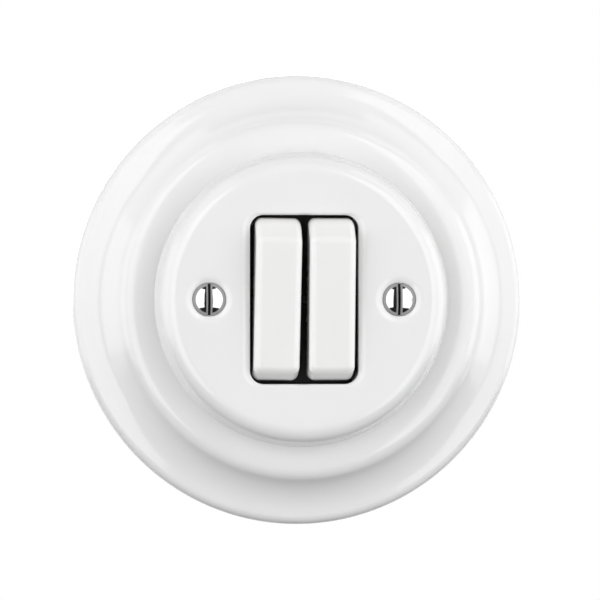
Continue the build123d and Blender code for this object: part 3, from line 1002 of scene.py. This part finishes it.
@dataclass
class Screw:
    """A slotted screw on the z axis, with the surface that its head rests on at height 0."""

    head: Head
    head_radius: float
    head_height: float
    shank_radius: float
    length: float
    slot_width: float = 0.8
    slot_depth: float = 0.9
    slot_reach: float = 1.1
    slot_steps: int = 24
    rim: float = 0.3
    rim_corner: float = 0.06
    bevel_width: float = 0.65
    bevel_height: float = 0.25
    edge: float = 0.35
    tip: float = 0.5
    softness: float = 0.06
    # Painted shade: near black in the slot, grey on the slot's lips and the head's bevel.
    slot_patina: Colour = (0.012, 0.012, 0.012)
    slot_margin: float = 0.01
    edge_patina: Colour = (0.3, 0.3, 0.3)
    edge_lean: float = 0.3
    crease: float = 30.0
    segments: int = 96

    def outline(self) -> list[Point2]:
        """The outline from the crown to the tip.

        Returns:
            The (radius, height) points.
        """
        path = Outline((0, self.head_height), 0)
        overhang = self.head_radius - self.shank_radius
        if self.head is Head.RAISED:
            dome = self.head_radius - self.bevel_width
            rise = self.head_height - self.bevel_height
            sphere = (dome**2 + rise**2) / (2 * rise)
            path.bend(sphere, -degrees(asin(dome / sphere)), step=2)
            path.face(-degrees(atan(self.bevel_height / self.bevel_width)))
            path.run(hypot(self.bevel_width, self.bevel_height))
            path.corner(270, self.rim, self.rim_corner)
            path.face(225).run(overhang * sqrt(2))
        else:
            path.run(self.head_radius, pieces=4).corner(270, self.head_height, self.edge)
            path.face(180).run(overhang)
        path.face(270).run(path.points[-1][1] + self.length - self.tip, pieces=6)
        path.face(225).run(self.tip * sqrt(2), pieces=2)
        return path.face(180).run(path.points[-1][0], pieces=2).points

    def surface(self, reach: float) -> float:
        """Height of the head's front at a distance from the axis.

        Args:
            reach: The distance.

        Returns:
            The height, which stays that of the head's edge past the edge.
        """
        path = self.outline()
        for (r0, z0), (r1, z1) in zip(path, path[1:]):
            if r1 <= r0:
                return z0
            if reach <= r1:
                return z0 + (z1 - z0) * (reach - r0) / (r1 - r0)
        return 0.0

    def slot(self) -> Mesh:
        """The slot as a cutter, whose mouth is widened along the head's surface.

        Returns:
            The mesh, in millimetres.
        """
        half = self.slot_width / 2
        floor = self.head_height - self.slot_depth
        above = 2 * self.head_height
        sections: list[list[Point3]] = []
        for step in range(-self.slot_steps, self.slot_steps + 1):
            y = self.slot_reach * self.head_radius * step / self.slot_steps
            top = self.surface(abs(y)) - self.softness
            wide = half + above - top
            right = [(half, y, floor), (half, y, top), (wide, y, above)]
            sections.append(right + [(-x, y, z) for x, y, z in reversed(right)])
        shell = Shell()
        shell.skin(sections)
        shell.cap(sections[0])
        shell.cap(sections[-1])
        return shell.mesh("slot", Matrix.Identity(4))

    def mesh(self, name: str) -> Mesh:
        """The screw with its slot.

        Args:
            name: Name of the mesh.

        Returns:
            The mesh, in millimetres.
        """
        shell = Shell()
        shell.skin([circle(max(r, 0.0), z, self.segments) for r, z in self.outline()])
        tool = put("slot", self.slot())
        blank = put(name, shell.mesh(name, Matrix.Identity(4)))
        cut = blank.modifiers.new("slot", "BOOLEAN")
        cut.object = tool
        cut.solver = "EXACT"
        mesh = baked(blank)
        bpy.data.objects.remove(tool)
        tidy(mesh, WELD_CUT, self.crease)
        # Painted shade on the slot, its lips and the head's bevel.
        self.age(mesh)
        return mesh

    def age(self, mesh: Mesh) -> None:
        """Paint shade into the screw: black in the slot, grey on the slot's lips and the head's
        bevel, which also lose their shine.

        Args:
            mesh: The finished screw, in millimetres.
        """
        # A face attribute carries the painted shade into the finish.
        marks = mesh.attributes.new("patina", "FLOAT_COLOR", "FACE")
        for mark, face in zip(marks.data, mesh.polygons):
            x, y, _ = face.center
            aside = abs(x) - self.slot_width / 2
            bevelled = hypot(x, y) > self.head_radius - self.bevel_width
            shaded_lip = aside < self.softness and abs(face.normal.x) > self.edge_lean
            # Painted shade, near black, in the slot.
            if aside < self.slot_margin:
                mark.color = (*self.slot_patina, 1)
            # Painted shade, grey, on the head's bevel and the slot's lips.
            elif bevelled or shaded_lip:
                mark.color = (*self.edge_patina, 1)
            else:
                mark.color = (0, 0, 0, 0)


@dataclass
class ScrewSet:
    """Copies of one screw that share a node."""

    name: str
    node: str
    screw: Screw
    places: list[Matrix]

    def build(self) -> None:
        """Make the screw and set it on its places."""
        template = put("template", self.screw.mesh("template"))
        template.data.transform(Matrix.Scale(MM, 4))
        stood = [STAND @ place for place in self.places]
        spots = bpy.data.meshes.new("spots")
        spots.from_pydata([matrix.translation for matrix in stood], [], [])
        turns = spots.attributes.new("turn", "FLOAT_VECTOR", "POINT")
        for item, matrix in zip(turns.data, stood):
            item.vector = matrix.to_euler()
        finish = NODE_FINISHES[self.node]
        values = {"Piece": template, "Material": finish.material()}
        mesh = grown(spots, scatter_tree(), values, self.name, self.screw.crease)
        bpy.data.objects.remove(template)
        place_piece(mesh, "switch", finish, self.node)


@dataclass
class Fasteners:
    """Every screw of the switch."""

    cover: Cover
    plate_thickness: float = 1.2
    plate_clearance: float = 0.6
    flange_thickness: float = 2.0
    mechanism_x: float = 14.4
    mechanism_y: float = 17.4
    terminal_depth: float = 14.5
    common_x: float = 14.5
    throw_x: float = 5.95
    throw_y: float = 16.7

    def terminal_places(self) -> list[Matrix]:
        """Places of the six terminal screws, whose heads point out of the base.

        Returns:
            One place for each, with the slot upright.
        """
        upright = Vector((0, 0, 1))
        places = []
        for side in Side:
            sign = side.value
            spots = [(sign * self.common_x, 0, sign, 0)]
            spots += [(sign * self.throw_x, up * self.throw_y, 0, up) for up in (-1, 1)]
            for x, y, out_x, out_y in spots:
                outward = Vector((out_x, out_y, 0))
                turn = Matrix((upright.cross(outward), upright, outward)).transposed()
                places.append(Matrix.Translation((x, y, -self.terminal_depth)) @ turn.to_4x4())
        return places

    def build(self) -> None:
        """Make the three kinds of screw and set them in place."""
        seat = self.cover.face - self.cover.seat_depth
        reach = seat - self.plate_thickness - self.plate_clearance
        shelf = self.plate_thickness + self.flange_thickness
        raised = Screw(
            Head.RAISED, head_radius=3.6, head_height=0.9, shank_radius=1.75, length=reach,
            slot_width=0.55, slot_depth=1.4, softness=0.42,
        )
        pan = Screw(Head.PAN, head_radius=2.5, head_height=1.8, shank_radius=1.4, length=11.0)
        terminal = Screw(Head.PAN, head_radius=2.6, head_height=2.0, shank_radius=1.5, length=7.2)
        posts = [Matrix.Translation((side.value * self.cover.screw_x, 0, seat)) for side in Side]
        corners = [
            Matrix.Translation((side.value * self.mechanism_x, up * self.mechanism_y, shelf))
            for side in Side
            for up in (-1, 1)
        ]
        clamps = self.terminal_places()
        ScrewSet("plated_cover_screws", "cover_screws", raised, posts).build()
        ScrewSet("slotted_mechanism_screws", "mechanism_screws", pan, corners).build()
        ScrewSet("slotted_terminal_screws", "terminal_screws", terminal, clamps).build()


@dataclass
class Mechanism:
    """What lies behind the cover: softened copies of some nodes, and others as drawn."""

    flat_angle: float = 0.2
    sharp_angle: float = 40.0
    bevel_segments: int = 2
    face_weight: int = 100
    softened: Mapping[str, float] = field(
        default_factory=lambda: {
            "mechanism_base": 0.3,
            "mechanism_hood": 0.2,
            "support_plate": 0.12,
            "terminal_clamps": 0.12,
        }
    )
    # The rocker axle takes the near-black finish, which is painted shade.
    single: Sequence[str] = ("cover_posts", "rocker_axle", "fixed_contacts")
    paired: Sequence[str] = (
        "yoke", "plunger", "contact_blade", "blade_contacts",
        "common_terminal", "upper_terminal", "lower_terminal",
    )

    def soften(self, node: str, width: float) -> Mesh:
        """A copy of a node's mesh with its edges rounded.

        Args:
            node: The node.
            width: Width of the rounding, in millimetres.

        Returns:
            The new mesh, whose flats stay flat next to the rounded edges.
        """
        mesh = frame["nodes"][node].data.copy()
        work = bmesh.new()
        work.from_mesh(mesh)
        bmesh.ops.remove_doubles(work, verts=work.verts, dist=WELD_GROWN)
        limit = radians(self.flat_angle)
        bmesh.ops.dissolve_limit(work, angle_limit=limit, verts=work.verts, edges=work.edges)
        limit = radians(self.sharp_angle)
        sharp = [edge for edge in work.edges if edge.is_manifold and edge.calc_face_angle() > limit]
        bmesh.ops.bevel(
            work, geom=sharp, offset=width * MM, segments=self.bevel_segments, profile=0.5,
            affect="EDGES", clamp_overlap=True,
        )
        work.to_mesh(mesh)
        work.free()
        tidy(mesh, WELD_SOFT)
        carrier = put(f"soft_{node}", mesh)
        normals = carrier.modifiers.new("normals", "WEIGHTED_NORMAL")
        normals.keep_sharp = True
        normals.weight = self.face_weight
        return baked(carrier)

    def dress(self, node: str) -> None:
        """Give a node of the frame, which is shown as drawn, its finish.

        Args:
            node: The node.
        """
        materials = frame["nodes"][node].data.materials
        materials.clear()
        materials.append(NODE_FINISHES[node].material())
        LOG.info("%s: as drawn", node)

    def build(self) -> None:
        """Soften and dress the mechanism."""
        for node, width in self.softened.items():
            place_piece(self.soften(node, width), "switch", NODE_FINISHES[node], node)
        sided = [f"{side.word}_{node}" for side in Side for node in self.paired]
        for node in (*self.single, *sided):
            self.dress(node)


@dataclass
class Softbox:
    """A rectangular studio light, by its direction and distance from the switch in metres."""

    name: str
    azimuth: float
    elevation: float
    distance: float
    width: float
    height: float
    power: float
    mirrored: bool = True

    def build(self) -> None:
        """Hang the light and point it at the switch."""
        lamp = bpy.data.lights.new(self.name, "AREA")
        lamp.shape = "RECTANGLE"
        lamp.size = self.width
        lamp.size_y = self.height
        lamp.energy = self.power
        holder = put(self.name, lamp)
        holder.visible_glossy = self.mirrored
        turn, rise = radians(self.azimuth), radians(self.elevation)
        away = Vector((sin(turn) * cos(rise), -cos(turn) * cos(rise), sin(rise)))
        holder.location = away * self.distance
        holder.rotation_euler = away.to_track_quat("Z", "Y").to_euler()


@dataclass
class Studio:
    """White surroundings, soft lights, a pale floor, dark panels and the camera, in metres."""

    azimuth: float = -5.2
    distance: float = 0.8
    lens: float = 215.7
    aim: Point3 = (0.0005, -0.0019, -0.0001)
    surround: float = 0.18
    floor_half_width: float = 2.2
    floor_height: float = -0.6
    floor_colour: Colour = (0.9, 0.9, 0.9)
    floor_white: float = 0.95
    panel_roughness: float = 0.8
    room_colour: Colour = (0.02, 0.02, 0.02)
    room_half_width: float = 4.5
    room_corner: Point2 = (-2.6, -1.4)
    wall_top: Point2 = (-2.6, 4.5)
    ground_end: Point2 = (1.5, -1.4)
    flag_half_width: float = 0.9
    flag_front: Point2 = (-1.1, 2.0)
    flag_back: Point2 = (-0.05, 2.0)
    # Columns: azimuth, elevation, distance, width, height, power.
    boxes: list[Softbox] = field(
        default_factory=lambda: [
            Softbox("left", -34, 4.5, 1.5, 1.0, 1.95, 9.4),
            Softbox("right", 34, 4.5, 1.5, 1.0, 1.95, 8.6),
            Softbox("side_left", -60, 2, 1.4, 0.8, 1.6, 5.8, mirrored=False),
            Softbox("side_right", 60, 2, 1.4, 0.8, 1.6, 5.3, mirrored=False),
            Softbox("far_left", -80, 2, 1.3, 1.2, 1.2, 3.1),
            Softbox("far_right", 80, 2, 1.3, 1.2, 1.2, 4.5),
            Softbox("high_left", -60, 45, 1.5, 1.0, 1.0, 3.7, mirrored=False),
            Softbox("high_right", 60, 45, 1.5, 1.0, 1.0, 4.0, mirrored=False),
            Softbox("back", 180, 20, 1.6, 1.2, 1.2, 17.0),
        ]
    )

    def hang_camera(self) -> None:
        """Put the camera a little to the left of the switch's axis."""
        camera = put("camera", bpy.data.cameras.new("camera"))
        camera.data.lens = self.lens
        turn = radians(self.azimuth)
        away = Vector((sin(turn), -cos(turn), 0))
        camera.location = Vector(self.aim) + away * self.distance
        camera.rotation_euler = away.to_track_quat("Z", "Y").to_euler()
        bpy.context.scene.camera = camera

    def paint_world(self) -> None:
        """White where the world is seen or mirrored, dimmer where it lights."""
        world = bpy.data.worlds.new("studio")
        world.use_nodes = True
        bpy.context.scene.world = world
        tree = Tree(world.node_tree)
        rays = tree.add("ShaderNodeLightPath").outputs
        seen = tree.math("MAXIMUM", rays["Is Camera Ray"], rays["Is Glossy Ray"])
        seen = tree.math("MAXIMUM", seen, rays["Is Transmission Ray"])
        light, white = (
            tree.out("ShaderNodeBackground", {"Color": WHITE, "Strength": strength})
            for strength in (self.surround, 1.0)
        )
        mixed = tree.out("ShaderNodeMixShader", {0: seen, 1: light, 2: white})
        tree.add("ShaderNodeOutputWorld", {"Surface": mixed})

    def panel(
        self, name: str, half: float, near: Point2, far: Point2, colour: Colour, white: float = 0.0
    ) -> Object:
        """A flat, dull panel, which neither stops light nor throws it back on the switch.

        Args:
            name: Its name.
            half: Half of its width along x.
            near: Where one of its wide edges lies, as (y, z).
            far: Where the other one lies.
            colour: Its colour.
            white: Share of plain white that the camera sees on it, as on the world.

        Returns:
            The panel.
        """
        mesh = bpy.data.meshes.new(name)
        corners = [(-half, *near), (half, *near), (half, *far), (-half, *far)]
        mesh.from_pydata(corners, [], [(0, 1, 2, 3)])
        material = bpy.data.materials.new(name)
        material.use_nodes = True
        tree = Tree(material.node_tree)
        surface = {"Base Color": (*colour, 1), "Roughness": self.panel_roughness}
        dull = tree.out("ShaderNodeBsdfPrincipled", surface)
        plain = tree.out("ShaderNodeEmission", {"Color": WHITE, "Strength": 1.0})
        share = tree.math("MULTIPLY", tree.out("ShaderNodeLightPath", key="Is Camera Ray"), white)
        mixed = tree.out("ShaderNodeMixShader", {0: share, 1: dull, 2: plain})
        tree.add("ShaderNodeOutputMaterial", {"Surface": mixed})
        mesh.materials.append(material)
        panel = put(name, mesh)
        panel.visible_diffuse = False
        panel.visible_shadow = False
        return panel

    def lay_floor(self) -> None:
        """Lay a pale floor below the switch."""
        half, height = self.floor_half_width, self.floor_height
        edges = ((-half, height), (half, height))
        floor = self.panel("floor", half, *edges, self.floor_colour, self.floor_white)
        floor.visible_glossy = False

    def darken_room(self) -> None:
        """Put a dark wall behind the camera, a dark ground and a flag above, only for mirrors."""
        for name, half, near, far in (
            ("wall", self.room_half_width, self.room_corner, self.wall_top),
            ("ground", self.room_half_width, self.room_corner, self.ground_end),
            ("flag", self.flag_half_width, self.flag_front, self.flag_back),
        ):
            panel = self.panel(name, half, near, far, self.room_colour)
            panel.visible_camera = False
            panel.visible_transmission = False

    def build(self) -> None:
        """Set up the studio."""
        self.hang_camera()
        self.paint_world()
        self.lay_floor()
        self.darken_room()
        for box in self.boxes:
            box.build()
        bpy.context.scene.view_settings.view_transform = "Standard"


def main() -> None:
    """Build and dress the switch, then set up the studio."""
    logging.basicConfig(level=logging.INFO, format="%(message)s")
    ring = FrameRing()
    cover = Cover(seat_height=ring.seat_height)
    ring.build()
    cover.build()
    Rocker(Side.LEFT, cover.face, skew=-0.8).build()
    Rocker(Side.RIGHT, cover.face).build()
    Fasteners(cover).build()
    Mechanism().build()
    Studio().build()
    bpy.context.view_layer.update()


if __name__ == "__main__":
    main()
